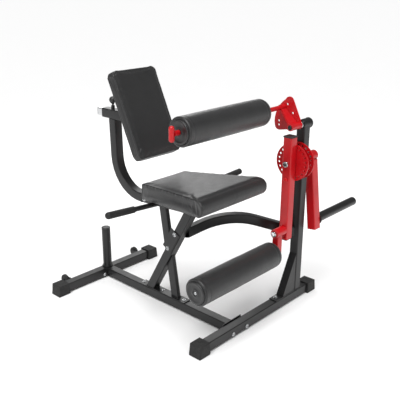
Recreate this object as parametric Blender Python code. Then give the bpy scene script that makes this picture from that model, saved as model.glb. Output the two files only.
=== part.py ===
"""Plate-loaded seated leg extension and leg curl machine, in metres, +Z up.

Every shape below is given in the machine frame: X = 0 is the middle of the seat and grows
towards the lever side, Y = 0 is the front face of the front floor bar and grows towards the
backrest, and Z = 0 is the floor. The empty "machine" shifts that frame so that the part's own
origin is on the floor under the middle of its bounding box. Each moving group has an empty on
its joint axis, and the pieces of the group are children of that empty.
"""
import math

import bmesh
import bpy
from mathutils import Matrix, Vector

# ---------------------------------------------------------------- driving dimensions
BOX_MIDDLE = Vector((0.27149, 0.5075, 0.0))
GAP = 0.0003                      # clearance between pieces that touch
TUBE = 0.050                      # outer width of the square frame tube
HALF = TUBE / 2
WALL = 0.0025
TUBE_CORNER = 0.005
BAR_LOW = 0.006                   # underside of the floor bars, held up by their boots
BAR_TOP = BAR_LOW + TUBE
BAR_Z = BAR_LOW + HALF
BASE_PLATE = 0.0045
DECK_Z = BAR_TOP + BASE_PLATE + 2 * GAP

FRONT_BAR_X = (-0.287, 0.681)
FRONT_BAR_Y = HALF
REAR_BAR_X = (-0.3735, 0.3735)
REAR_BAR_Y = 0.997
BOOT_LENGTH = 0.075
BOOT_SIDE = 0.011
BOOT_HEIGHT = 0.063
BOOT_SLANT = 0.007
BOOT_END = 0.007

POST_X = 0.516
POST_Y = 0.025
PIVOT_Z = 0.797                   # main pivot of the lever
BARREL_Z = 0.979                  # pivot barrel of the thigh roller, on top of the post
BARREL_RADIUS = 0.026
SHAFT_RADIUS = 0.0125
BORE_RADIUS = SHAFT_RADIUS + GAP

LEG_SLOPE = 0.5686                # the long leg moves this far forward per metre up
LEG_FOOT_Y = 0.609
SHORT_LEG_SLOPE = 0.169
SHORT_LEG_FOOT_Y = 0.425
SHORT_LEG_WIDTH = 0.025
CROSS_PLATE = ((0.372, 0.432), (0.428, 0.464), (0.492, 0.352), (0.436, 0.320))
RAIL_SLOPE = 0.06                 # the seat rail rises towards the front
RAIL_REAR_Y = 0.655
RAIL_FRONT_Y = 0.268
RAIL_Z_AT_HALF = 0.581            # middle of the rail at Y = 0.5

SEAT_REAR_Y = 0.513
SEAT_FRONT_Y = 0.072
SEAT_NOSE_Y = 0.024
SEAT_SLOPE = 0.100
SEAT_TOP_REAR_Z = 0.714
SEAT_THICKNESS = 0.084
SEAT_BOARD = 0.010
SEAT_HALF_REAR = 0.1525
SEAT_HALF_FRONT = 0.2375
SEAT_PROFILE = (                  # (Y, depth below the seat's top line), round the side
    (SEAT_REAR_Y, SEAT_THICKNESS),
    (0.046, SEAT_THICKNESS),
    (0.031, 0.070),
    (SEAT_NOSE_Y, 0.050),
    (0.028, 0.027),
    (0.044, 0.009),
    (SEAT_FRONT_Y, 0.0),
    (SEAT_REAR_Y, 0.0),
)
SEAT_FEET_Y = (0.315, 0.455)

BACK_BEND_RADIUS = 0.195
BACK_CORNER_Y = 0.860
BACK_TOP_Y = 0.871
SLEEVE_Y = (0.790, 0.950)
SLEEVE_Z = 0.986
SLIDE_HALF = 0.020
SLIDE_REAR_Y = 0.990
PAD_TILT = math.radians(25.0)
PAD_FACE_MIDDLE = Vector((0.0, 0.6131, 1.0362))
PAD_WIDTH = 0.295
PAD_HEIGHT = 0.460
PAD_THICKNESS = 0.050
PULL_PIN_Y = 0.885

HANDLE_ROOT = Vector((HALF + GAP, 0.482, 0.590))
HANDLE_TIP = Vector((0.470, 0.386, 0.666))
HANDLE_RADIUS = 0.0125
GRIP_RADIUS = 0.0165
GRIP_LENGTH = 0.200

ARM_X = (0.3815, 0.4315)          # roller arm, on the seat side of the post
ARM_Z = (0.392, 0.930)
DISC_RADIUS = 0.096
DISC_HOLE_CIRCLE = 0.081
DISC_HOLE_COUNT = 22
DISC_HOLE_RADIUS = 0.006
DISC_THICKNESS = 0.006
OUTER_DISC_X = 0.4805
WEIGHT_ARM_X = (0.575, 0.628)
WEIGHT_ARM_LEAN = math.radians(7.0)
WEIGHT_ARM_LENGTH = 0.398
WEIGHT_HUB_RADIUS = 0.0262
PEG_ALONG_ARM = 0.352
PEG_RADIUS = 0.0245
PEG_END_X = 1.018

ANKLE_ROLLER_X = (-0.280, 0.300)
THIGH_ROLLER_X = (-0.280, 0.289)
ROLLER_RADIUS = 0.0670
ROD_RADIUS = 0.0115
ROLLER_BORE = 0.0122
ROLLER_CAP_RADIUS = 0.054
ROLLER_CAP = 0.006
ANKLE_PIVOT = Vector((0.0, 0.022, 0.445))
ANKLE_ROLLER = Vector((0.0, 0.022, 0.338))
ANKLE_BARREL_X = (0.303, 0.3795)
ANKLE_BARREL_RADIUS = 0.0235
THIGH_ROLLER = Vector((0.0, 0.118, 1.060))
THIGH_ARM_X = (0.395, 0.469)      # where the bracket's arm sits on its pivot pin
THIGH_ARM_TOP_X = 0.437           # the arm narrows towards the roller's rod
THIGH_ARM_THICKNESS = 0.010
THIGH_SECTOR = 0.008
SECTOR_RADIUS = 0.147

STORAGE_TOP_Z = 0.303
STORAGE_RADIUS = 0.025
WHEEL_X = 0.262
WHEEL_CENTRE = (1.0560, 0.0400)
WHEEL_RADIUS = 0.030
WHEEL_WIDTH = 0.020

MATERIALS = {
    # name: (colour, roughness, metallic)
    "black_paint": ((0.018, 0.018, 0.019, 1), 0.42, 0.0),
    "red_paint": ((0.560, 0.008, 0.014, 1), 0.28, 0.0),
    "vinyl": ((0.022, 0.022, 0.023, 1), 0.50, 0.0),
    "black_plastic": ((0.020, 0.020, 0.021, 1), 0.55, 0.0),
    "rubber": ((0.016, 0.016, 0.016, 1), 0.80, 0.0),
    "chrome": ((0.620, 0.625, 0.630, 1), 0.16, 1.0),
    "board": ((0.060, 0.050, 0.040, 1), 0.75, 0.0),
}


# ---------------------------------------------------------------- scene and grouping
def clear_scene():
    for obj in list(bpy.data.objects):
        bpy.data.objects.remove(obj, do_unlink=True)


def make_material(name):
    colour, roughness, metallic = MATERIALS[name]
    material = bpy.data.materials.new(name)
    material.use_nodes = True
    shader = material.node_tree.nodes["Principled BSDF"]
    shader.inputs["Base Color"].default_value = colour
    shader.inputs["Roughness"].default_value = roughness
    shader.inputs["Metallic"].default_value = metallic
    return material


class Group:
    """An empty on a joint axis, and where that empty is in the machine frame."""

    def __init__(self, name, origin, parent=None):
        self.origin = Vector(origin)
        self.empty = bpy.data.objects.new(name, None)
        bpy.context.collection.objects.link(self.empty)
        if parent is None:
            self.empty.location = self.origin - BOX_MIDDLE
        else:
            self.empty.parent = parent.empty
            self.empty.location = self.origin - parent.origin


def add_piece(name, bm, material, group):
    """Turn a bmesh given in the machine frame into a child of the group's empty."""
    bmesh.ops.remove_doubles(bm, verts=bm.verts, dist=1e-7)
    bmesh.ops.recalc_face_normals(bm, faces=bm.faces)
    bmesh.ops.translate(bm, verts=bm.verts, vec=-group.origin)
    mesh = bpy.data.meshes.new(name)
    bm.to_mesh(mesh)
    bm.free()
    mesh.shade_smooth()
    mesh.set_sharp_from_angle(angle=math.radians(32))
    mesh.materials.append(PAINT[material])
    piece = bpy.data.objects.new(name, mesh)
    bpy.context.collection.objects.link(piece)
    piece.parent = group.empty
    return piece


def combine(piece, bm, operation, group):
    """Boolean a piece with a shape, which stays in the file as a hidden wire cutter."""
    number = len(piece.modifiers) + 1
    cutter = add_piece(piece.name + "_cutter_" + str(number), bm, "black_plastic", group)
    cutter.hide_render = True
    cutter.display_type = "WIRE"
    modifier = piece.modifiers.new(operation.lower(), "BOOLEAN")
    modifier.operation = operation
    modifier.solver = "EXACT"
    modifier.object = cutter
    return piece


def soften(piece, width, segments=1):
    bevel = piece.modifiers.new("edges", "BEVEL")
    bevel.width = width
    bevel.segments = segments
    bevel.limit_method = "ANGLE"
    bevel.angle_limit = math.radians(50)
    return piece


# ---------------------------------------------------------------- shape helpers
def arc(centre, radius, start, end, steps):
    """Points on a circle, from one angle to another, both in degrees."""
    points = []
    for i in range(steps + 1):
        angle = math.radians(start + (end - start) * i / steps)
        points.append((centre[0] + radius * math.cos(angle), centre[1] + radius * math.sin(angle)))
    return points


def circle(radius, segments):
    return arc((0, 0), radius, 0, 360, segments)[:-1]


def rounded_rectangle(half_width, half_height, radius, steps=2):
    corners = ((1, 1, 0), (-1, 1, 90), (-1, -1, 180), (1, -1, 270))
    points = []
    for side, up, start in corners:
        centre = (side * (half_width - radius), up * (half_height - radius))
        points += arc(centre, radius, start, start + 90, steps)
    return points


def bridge_rings(bm, rings, closed):
    pairs = list(zip(rings, rings[1:]))
    if closed:
        pairs.append((rings[-1], rings[0]))
    for first, second in pairs:
        count = len(first)
        for i in range(count):
            j = (i + 1) % count
            bm.faces.new((first[i], first[j], second[j], second[i]))


def swept_ring(bm, profile, point, side, up):
    return [bm.verts.new(point + side * a + up * b) for a, b in profile]


def sweep(path, side, outline, hole=None, end_normals=(None, None)):
    """Sweep an outline along a flat path. side is square to the path's plane.

    end_normals cut the two ends on planes, so that a tube ends flat against its neighbour.
    """
    side = Vector(side).normalized()
    points = [Vector(p) for p in path]
    last = len(points) - 1
    legs = [(b - a).normalized() for a, b in zip(points, points[1:])]
    bm = bmesh.new()
    rings = []
    for profile in [outline] + ([hole] if hole else []):
        loops = []
        for i, point in enumerate(points):
            before, after = legs[max(i - 1, 0)], legs[min(i, last - 1)]
            tangent = (before + after).normalized()
            stretch = 1.0 / tangent.dot(after)
            loop = swept_ring(bm, profile, point, side, tangent.cross(side) * stretch)
            normal = end_normals[0] if i == 0 else end_normals[1] if i == last else None
            if normal is not None:
                normal = Vector(normal)
                for vert in loop:
                    offset = (vert.co - point).dot(normal) / tangent.dot(normal)
                    vert.co -= tangent * offset
            loops.append(loop)
        rings.append(loops)
    bridge_rings(bm, rings[0], closed=False)
    if hole:
        bridge_rings(bm, rings[1], closed=False)
        for end in (0, -1):
            bridge_rings(bm, [rings[0][end], rings[1][end]], closed=False)
    else:
        bm.faces.new(rings[0][0])
        bm.faces.new(rings[0][-1])
    return bm


def square_tube(path, side, width=TUBE, depth=TUBE, wall=WALL, end_normals=(None, None)):
    """A hollow tube; width is measured along side."""
    outline = rounded_rectangle(width / 2, depth / 2, TUBE_CORNER)
    hole = rounded_rectangle(width / 2 - wall, depth / 2 - wall, TUBE_CORNER - wall)
    return sweep(path, side, outline, hole, end_normals)


def bent_path(start, corner, end, radius, steps):
    """Straight, arc, straight: the arc rounds the corner."""
    start, corner, end = Vector(start), Vector(corner), Vector(end)
    incoming = (corner - start).normalized()
    outgoing = (end - corner).normalized()
    turn = incoming.angle(outgoing)
    tangent_length = radius * math.tan(turn / 2)
    first = corner - incoming * tangent_length
    inward = (outgoing - incoming * outgoing.dot(incoming)).normalized()
    centre = first + inward * radius
    points = [start]
    for i in range(steps + 1):
        angle = turn * i / steps
        points.append(centre - inward * radius * math.cos(angle) + incoming * radius * math.sin(angle))
    points.append(end)
    return points


def turned(profile, start=(0, 0, 0), direction=(1, 0, 0), segments=24, hollow=False):
    """Turn (distance, radius) points about a line. hollow joins the last point to the first."""
    turn = Vector(direction).normalized().to_track_quat("X", "Z").to_matrix().to_4x4()
    place = Matrix.Translation(Vector(start)) @ turn
    bm = bmesh.new()
    rings = []
    for distance, radius in profile:
        if radius == 0:
            rings.append([bm.verts.new(place @ Vector((distance, 0, 0)))])
            continue
        ring = []
        for i in range(segments):
            angle = 2 * math.pi * i / segments
            offset = Vector((distance, radius * math.cos(angle), radius * math.sin(angle)))
            ring.append(bm.verts.new(place @ offset))
        rings.append(ring)
    pairs = list(zip(rings, rings[1:])) + ([(rings[-1], rings[0])] if hollow else [])
    for first, second in pairs:
        for i in range(segments):
            j = (i + 1) % segments
            if len(first) == 1:
                bm.faces.new((first[0], second[j], second[i]))
            elif len(second) == 1:
                bm.faces.new((first[i], first[j], second[0]))
            else:
                bm.faces.new((first[i], first[j], second[j], second[i]))
    return bm


def rod(x_low, x_high, radius, y, z, segments=20):
    profile = [(x_low, 0), (x_low, radius), (x_high, radius), (x_high, 0)]
    return turned(profile, (0, y, z), segments=segments)


def ring_profile(x_low, x_high, inner, outer):
    return [(x_low, inner), (x_low, outer), (x_high, outer), (x_high, inner)]


def extruded(outline, low, high, axis):
    """Extrude a flat outline between two values along X, Y or Z."""
    order = {"X": (2, 0, 1), "Y": (0, 2, 1), "Z": (0, 1, 2)}[axis]
    bm = bmesh.new()
    rings = []
    for depth in (low, high):
        ring = []
        for a, b in outline:
            values = (a, b, depth)
            ring.append(bm.verts.new([values[order[i]] for i in range(3)]))
        rings.append(ring)
    bridge_rings(bm, rings, closed=False)
    bm.faces.new(rings[0])
    bm.faces.new(rings[1])
    return bm


def box(low, high):
    outline = [(low[0], low[1]), (high[0], low[1]), (high[0], high[1]), (low[0], high[1])]
    return extruded(outline, low[2], high[2], "Z")


def rod_holes(places, x_low, x_high, radius, segments=10):
    """Several pins along X in one mesh, to cut holes with."""
    bm = bmesh.new()
    for y, z in places:
        pin = rod(x_low, x_high, radius, y, z, segments)
        mesh = bpy.data.meshes.new("hole")
        pin.to_mesh(mesh)
        pin.free()
        bm.from_mesh(mesh)
        bpy.data.meshes.remove(mesh)
    return bm


# ---------------------------------------------------------------- floor frame
def floor_bar(name, x_range, y, group):
    ends = (x_range[0] + BOOT_END + GAP, x_range[1] - BOOT_END - GAP)
    path = [(x, y, BAR_Z) for x in ends]
    add_piece(name, square_tube(path, (0, 1, 0)), "black_paint", group)
    for side, outer, inward in (("right", x_range[0], 1), ("left", x_range[1], -1)):
        end_boot(name.replace("floor_bar", "boot_" + side), outer, inward, y, group)


def end_boot(name, outer_x, inward, bar_y, group):
    """A rubber boot: a block with a slanted end and a socket for the bar."""
    inner_x = outer_x + inward * BOOT_LENGTH
    top_x = outer_x + inward * BOOT_SLANT
    outline = [(outer_x, 0), (inner_x, 0), (inner_x, BOOT_HEIGHT), (top_x, BOOT_HEIGHT)]
    half = HALF + BOOT_SIDE
    boot = add_piece(name, extruded(outline, bar_y - half, bar_y + half, "Y"), "rubber", group)
    soften(boot, 0.003, 2)
    socket_end = outer_x + inward * BOOT_END
    mouth = inner_x + inward * 0.01
    xs = sorted((socket_end, mouth))
    clear = HALF + GAP
    socket = box((xs[0], bar_y - clear, BAR_LOW - GAP), (xs[1], bar_y + clear, BAR_TOP + GAP))
    combine(boot, socket, "DIFFERENCE", group)


def floor_frame(group):
    floor_bar("front_floor_bar", FRONT_BAR_X, FRONT_BAR_Y, group)
    floor_bar("rear_floor_bar", REAR_BAR_X, REAR_BAR_Y, group)
    bar_back = FRONT_BAR_Y + HALF
    plate_y = (bar_back + GAP, bar_back + GAP + BASE_PLATE)
    plate = box((-0.050, plate_y[0], 0.008), (0.086, plate_y[1], 0.062))
    add_piece("front_joint_plate", plate, "black_paint", group)
    beam = [(0, plate_y[1] + GAP, BAR_Z), (0, REAR_BAR_Y - HALF - GAP, BAR_Z)]
    add_piece("main_floor_beam", square_tube(beam, (1, 0, 0)), "black_paint", group)


def storage_post(group):
    low = BAR_TOP + GAP
    cap_z = STORAGE_TOP_Z - 0.010
    inner = STORAGE_RADIUS - 0.003
    profile = [(low, inner), (low, 0.0300), (low + 0.006, 0.0300), (low + 0.016, STORAGE_RADIUS),
               (cap_z, STORAGE_RADIUS), (cap_z, inner)]
    base = (0, REAR_BAR_Y, 0)
    post = turned(profile, base, (0, 0, 1), hollow=True)
    add_piece("plate_storage_post", post, "black_paint", group)
    cap = [(cap_z + GAP, 0), (cap_z + GAP, STORAGE_RADIUS), (STORAGE_TOP_Z - 0.003, STORAGE_RADIUS),
           (STORAGE_TOP_Z, STORAGE_RADIUS - 0.004), (STORAGE_TOP_Z, 0)]
    add_piece("storage_post_cap", turned(cap, base, (0, 0, 1)), "black_plastic", group)


def transport_wheel(side, sign, group):
    """A wheel on a stub axle, on a plate welded to the back of the rear bar."""
    y, z = WHEEL_CENTRE
    inner_x = sign * (WHEEL_X - WHEEL_WIDTH / 2 - 0.002)
    bar_back = REAR_BAR_Y + HALF + GAP
    plate_x = sorted((inner_x, inner_x - sign * 0.004))
    outline = [(bar_back, 0.020), (y, 0.024)] + arc((y, z), 0.014, -60, 90, 5) + [(bar_back, 0.056)]
    plate = extruded(outline, plate_x[0], plate_x[1], "X")
    bracket = add_piece("wheel_bracket_" + side, plate, "black_paint", group)
    axle_x = sorted((inner_x - sign * 0.002, sign * (WHEEL_X + WHEEL_WIDTH / 2 + 0.006)))
    combine(bracket, rod(axle_x[0], axle_x[1], 0.0050, y, z, 16), "UNION", group)
    wheel_group = Group("wheel_axis_" + side, (sign * WHEEL_X, y, z), group)
    half = WHEEL_WIDTH / 2
    bore = 0.0050 + 2 * GAP
    profile = [(-half, bore), (-half, 0.026), (-half + 0.003, WHEEL_RADIUS),
               (half - 0.003, WHEEL_RADIUS), (half, 0.026), (half, bore)]
    wheel = turned(profile, (sign * WHEEL_X, y, z), hollow=True)
    add_piece("transport_wheel_" + side, wheel, "rubber", wheel_group)


# ---------------------------------------------------------------- post and its bearings
def post(group):
    x_low, x_high = POST_X - HALF, POST_X + HALF
    plate = box((0.322, POST_Y - 0.0235, BAR_TOP + GAP), (0.556, POST_Y + 0.0235, DECK_Z - GAP))
    add_piece("post_base_plate", plate, "black_paint", group)
    path = [(POST_X, POST_Y, DECK_Z), (POST_X, POST_Y, BARREL_Z)]
    upright = add_piece("main_post", square_tube(path, (1, 0, 0)), "black_paint", group)
    saddle = rod(x_low - 0.02, x_high + 0.02, BARREL_RADIUS + GAP, POST_Y, BARREL_Z, 32)
    combine(upright, saddle, "DIFFERENCE", group)
    bearing_hole = rod(x_low - 0.02, x_high + 0.02, 0.0185 + GAP, POST_Y, PIVOT_Z, 24)
    combine(upright, bearing_hole, "DIFFERENCE", group)

    foot_x, top_z = 0.384, 0.280
    slope = [(foot_x, DECK_Z), (x_low - GAP, DECK_Z), (x_low - GAP, top_z)]
    half = 0.0215
    gusset = add_piece("post_gusset", extruded(slope, POST_Y - half, POST_Y + half, "Y"),
                       "black_paint", group)
    inside = [(foot_x + 0.010, DECK_Z - 0.01), (x_low + 0.01, DECK_Z - 0.01), (x_low + 0.01, top_z)]
    wall = half - 0.0035
    combine(gusset, extruded(inside, POST_Y - wall, POST_Y + wall, "Y"), "DIFFERENCE", group)

    rim = BARREL_RADIUS + 0.0015
    barrel = [(x_low, BORE_RADIUS), (x_low, BARREL_RADIUS), (0.555, BARREL_RADIUS), (0.555, rim),
              (0.561, rim), (0.561, BORE_RADIUS)]
    add_piece("top_barrel", turned(barrel, (0, POST_Y, BARREL_Z), segments=32, hollow=True),
              "black_paint", group)
    housing = [(0.4880, BORE_RADIUS), (0.4880, 0.0185), (x_high + GAP, 0.0185), (x_high + GAP, 0.030),
               (x_high + 0.007, 0.030), (x_high + 0.007, 0.0225), (0.5740, 0.0225),
               (0.5740, BORE_RADIUS)]
    add_piece("bearing_housing", turned(housing, (0, POST_Y, PIVOT_Z), hollow=True),
              "black_paint", group)


# ---------------------------------------------------------------- seat frame
def long_leg_y(z):
    return LEG_FOOT_Y - LEG_SLOPE * (z - BAR_TOP)


def short_leg_y(z):
    return SHORT_LEG_FOOT_Y + SHORT_LEG_SLOPE * (z - BAR_TOP)


def rail_z(y):
    return RAIL_Z_AT_HALF + RAIL_SLOPE * (0.5 - y)


def under_rail(leg_y):
    """Height where a leg meets the underside of the sloping rail."""
    z = 0.55
    for _ in range(20):
        z = rail_z(leg_y(z)) - HALF * math.sqrt(1 + RAIL_SLOPE ** 2) - GAP
    return z


def leg_tube(leg_y, low, high, width, end_normals):
    path = [(0, leg_y(z), z) for z in (low, high)]
    return square_tube(path, (1, 0, 0), width=width, end_normals=end_normals)


def meeting_height(offset):
    """Height where the short leg's middle line meets a line beside the long leg."""
    reach = LEG_FOOT_Y + offset - SHORT_LEG_FOOT_Y
    return BAR_TOP + reach / (LEG_SLOPE + SHORT_LEG_SLOPE)


def seat_frame(group):
    deck = box((-0.0245, 0.345, BAR_TOP + GAP), (0.0245, 0.690, DECK_Z - GAP))
    add_piece("leg_base_plate", deck, "black_paint", group)
    level = (0, 0, 1)
    rail_normal = (0, RAIL_SLOPE, 1)
    leg_normal = Vector((0, 1, LEG_SLOPE)).normalized()
    long_leg = leg_tube(long_leg_y, DECK_Z, under_rail(long_leg_y), TUBE, (level, rail_normal))
    add_piece("long_leg", long_leg, "black_paint", group)
    beside = (HALF + GAP) * math.sqrt(1 + LEG_SLOPE ** 2)
    lower = leg_tube(short_leg_y, DECK_Z, meeting_height(-beside), SHORT_LEG_WIDTH,
                     (level, leg_normal))
    add_piece("short_leg_lower", lower, "black_paint", group)
    upper = leg_tube(short_leg_y, meeting_height(beside), under_rail(short_leg_y),
                     SHORT_LEG_WIDTH, (leg_normal, rail_normal))
    add_piece("short_leg_upper", upper, "black_paint", group)

    plate_x = (-HALF - GAP - 0.004, -HALF - GAP)
    cross = extruded(CROSS_PLATE, plate_x[0], plate_x[1], "X")
    add_piece("leg_cross_plate", cross, "black_paint", group)

    rail = [(0, y, rail_z(y)) for y in (RAIL_FRONT_Y, RAIL_REAR_Y)]
    ends = ((0, 1, 0), (0, 1, 0))
    add_piece("seat_rail", square_tube(rail, (1, 0, 0), end_normals=ends), "black_paint", group)

    start_y = RAIL_REAR_Y + GAP
    corner = (0, BACK_CORNER_Y, rail_z(BACK_CORNER_Y))
    top = (0, BACK_TOP_Y, SLEEVE_Z - HALF - GAP)
    path = bent_path((0, start_y, rail_z(start_y)), corner, top, BACK_BEND_RADIUS, 9)
    back_post = square_tube(path, (1, 0, 0), end_normals=((0, 1, 0), (0, 0, 1)))
    add_piece("back_post", back_post, "black_paint", group)


def arch_brace(group):
    """The bowed side tube from the long leg across to the post, notched round its corner."""
    start = Vector((HALF + GAP, 0.382, 0.434))
    along = Vector((0.4657, -0.3270, 0.0)).normalized()
    corner = start + along * 0.226 + Vector((0, 0, 0.095))
    end = start + along * 0.634 + Vector((0, 0, -0.052))
    path = bent_path(start, corner, end, 0.41, 8)
    across = along.cross((0, 0, 1))
    ends = ((1, 0, 0), (1, 0, 0))
    bm = square_tube(path, across, end_normals=ends)
    brace = add_piece("arch_brace", bm, "black_paint", group)
    low = (POST_X - HALF - GAP, POST_Y - 0.1, 0.2)
    high = (POST_X + 0.1, POST_Y + HALF + GAP, 0.6)
    combine(brace, box(low, high), "DIFFERENCE", group)


# ---------------------------------------------------------------- seat, handles
def seat_top_z(y):
    return SEAT_TOP_REAR_Z + SEAT_SLOPE * (SEAT_REAR_Y - y)


def seat_half_width(y):
    share = (SEAT_REAR_Y - y) / (SEAT_REAR_Y - SEAT_FRONT_Y)
    return SEAT_HALF_REAR + (SEAT_HALF_FRONT - SEAT_HALF_REAR) * min(share, 1)


def seat(group):
    """The cushion widens and rises towards a rounded nose; a board and two feet carry it."""
    outline = [(y, seat_top_z(y) - drop) for y, drop in SEAT_PROFILE]
    bm = bmesh.new()
    sides = []
    for sign in (-1, 1):
        ring = [bm.verts.new((sign * seat_half_width(y), y, z)) for y, z in outline]
        bm.faces.new(ring)
        sides.append(ring)
    bridge_rings(bm, sides, closed=False)
    add_piece("seat_cushion", bm, "vinyl", group)

    front_y, rear_y = 0.090, 0.495
    top = [(y, seat_top_z(y) - SEAT_THICKNESS - GAP) for y in (front_y, rear_y)]
    under = [(y, seat_top_z(y) - SEAT_THICKNESS - SEAT_BOARD) for y in (rear_y, front_y)]
    board = add_piece("seat_board", extruded(top + under, -0.120, 0.120, "X"), "board", group)
    rail_top = HALF * math.sqrt(1 + RAIL_SLOPE ** 2) + GAP
    for y in SEAT_FEET_Y:
        into_board = seat_top_z(y) - SEAT_THICKNESS - SEAT_BOARD / 2
        foot = [(y - 0.025, rail_z(y - 0.025) + rail_top), (y + 0.025, rail_z(y + 0.025) + rail_top)]
        foot += [(y + 0.025, into_board), (y - 0.025, into_board)]
        combine(board, extruded(foot, -0.019, 0.019, "X"), "UNION", group)


def handle(side, sign, group):
    mirror = Matrix.Diagonal((sign, 1, 1))
    root, tip = mirror @ HANDLE_ROOT, mirror @ HANDLE_TIP
    along = (tip - root).normalized()
    length = (tip - root).length
    bar_end = tip - along * 0.006
    bar = sweep([root, bar_end], along.cross((0, 0, 1)), circle(HANDLE_RADIUS, 16),
                end_normals=((1, 0, 0), None))
    add_piece("handle_bar_" + side, bar, "black_paint", group)
    inner = HANDLE_RADIUS + GAP
    start = length - GRIP_LENGTH
    profile = [(start, inner), (start, GRIP_RADIUS - 0.001), (start + 0.002, GRIP_RADIUS),
               (length - 0.006, GRIP_RADIUS), (length, GRIP_RADIUS - 0.002),
               (length + 0.003, 0.008), (length + 0.004, 0), (length - 0.005, 0),
               (length - 0.005, inner)]
    bm = turned_cup(profile, root, along)
    add_piece("handle_grip_" + side, bm, "rubber", group)


def turned_cup(profile, start, direction, segments=20):
    """Turn a profile whose two axis points close a blind sleeve."""
    first_pole = next(i for i, point in enumerate(profile) if point[1] == 0)
    opened = profile[first_pole + 1:] + profile[:first_pole + 1]
    return turned(opened, start, direction, segments)


# ---------------------------------------------------------------- backrest
def pad_frame():
    """Matrix whose X is across the pad, Y points out of its back and Z runs up its face."""
    tilt = Matrix.Rotation(-PAD_TILT, 4, "X")
    return Matrix.Translation(PAD_FACE_MIDDLE) @ tilt


def pad_box(half_width, half_height, low, high, corner):
    """A slab parallel to the pad's face, between two depths behind it."""
    outline = rounded_rectangle(half_width, half_height, corner, 4)
    bm = extruded(outline, low, high, "Y")
    bmesh.ops.transform(bm, matrix=pad_frame(), verts=bm.verts)
    return bm


def backrest(group):
    outline = rounded_rectangle(HALF, HALF, TUBE_CORNER)
    hole = rounded_rectangle(SLIDE_HALF + 0.0005, SLIDE_HALF + 0.0005, 0.002)
    path = [(0, y, SLEEVE_Z) for y in SLEEVE_Y]
    sleeve = add_piece("back_sleeve", sweep(path, (1, 0, 0), outline, hole), "black_paint", group)
    top = SLEEVE_Z + HALF
    pin_foot = (0, PULL_PIN_Y, 0)
    bush = [(top - 0.002, 0), (top - 0.002, 0.0100), (top + 0.016, 0.0100), (top + 0.019, 0.0080),
            (top + 0.019, 0)]
    combine(sleeve, turned(bush, pin_foot, (0, 0, 1), 20), "UNION", group)
    hole = [(top - 0.012, 0), (top - 0.012, 0.0056), (top + 0.03, 0.0056), (top + 0.03, 0)]
    combine(sleeve, turned(hole, pin_foot, (0, 0, 1), 16), "DIFFERENCE", group)
    pin_group = Group("pull_pin_line", (0, PULL_PIN_Y, top), group)
    ball_z, ball = top + 0.047, 0.019
    pin = [(SLEEVE_Z + SLIDE_HALF + 0.0008, 0), (SLEEVE_Z + SLIDE_HALF + 0.0008, 0.0048),
           (top + 0.022, 0.0048)]
    pin += [(ball_z + ball * math.sin(math.radians(a)), ball * math.cos(math.radians(a)))
            for a in range(-60, 90, 15)] + [(ball_z + ball, 0)]
    add_piece("pull_pin", turned(pin, pin_foot, (0, 0, 1), 20), "black_plastic", pin_group)

    carriage = Group("back_slide_line", (0, SLEEVE_Y[0], SLEEVE_Z), group)
    board = PAD_THICKNESS + GAP
    bracket = board + 0.012 + GAP
    bracket_back = bracket + 0.004 + GAP
    out = pad_frame().to_3x3() @ Vector((0, 1, 0))
    anchor = PAD_FACE_MIDDLE + out * bracket_back
    front_y = anchor.y - (SLEEVE_Z - anchor.z) * out.z / out.y
    path = [(0, front_y, SLEEVE_Z), (0, SLIDE_REAR_Y, SLEEVE_Z)]
    outline = rounded_rectangle(SLIDE_HALF, SLIDE_HALF, 0.004)
    hole = rounded_rectangle(SLIDE_HALF - 0.002, SLIDE_HALF - 0.002, 0.002)
    slide = sweep(path, (1, 0, 0), outline, hole, (out, None))
    add_piece("back_slide_tube", slide, "chrome", carriage)
    plate = pad_box(0.060, 0.100, bracket, bracket + 0.004, 0.008)
    add_piece("back_pad_bracket", plate, "black_paint", carriage)
    wood = pad_box(PAD_WIDTH / 2 - 0.025, PAD_HEIGHT / 2 - 0.030, board, board + 0.012, 0.015)
    add_piece("back_board", wood, "board", carriage)
    pad = pad_box(PAD_WIDTH / 2, PAD_HEIGHT / 2, 0, PAD_THICKNESS, 0.030)
    add_piece("back_cushion", pad, "vinyl", carriage)


# ---------------------------------------------------------------- lever
def disc_holes(x_low, x_high):
    step = 2 * math.pi / DISC_HOLE_COUNT
    places = []
    for i in range(DISC_HOLE_COUNT):
        angle = -math.pi / 2 + i * step
        places.append((POST_Y + DISC_HOLE_CIRCLE * math.cos(angle),
                       PIVOT_Z + DISC_HOLE_CIRCLE * math.sin(angle)))
    return rod_holes(places, x_low, x_high, DISC_HOLE_RADIUS)


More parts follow.
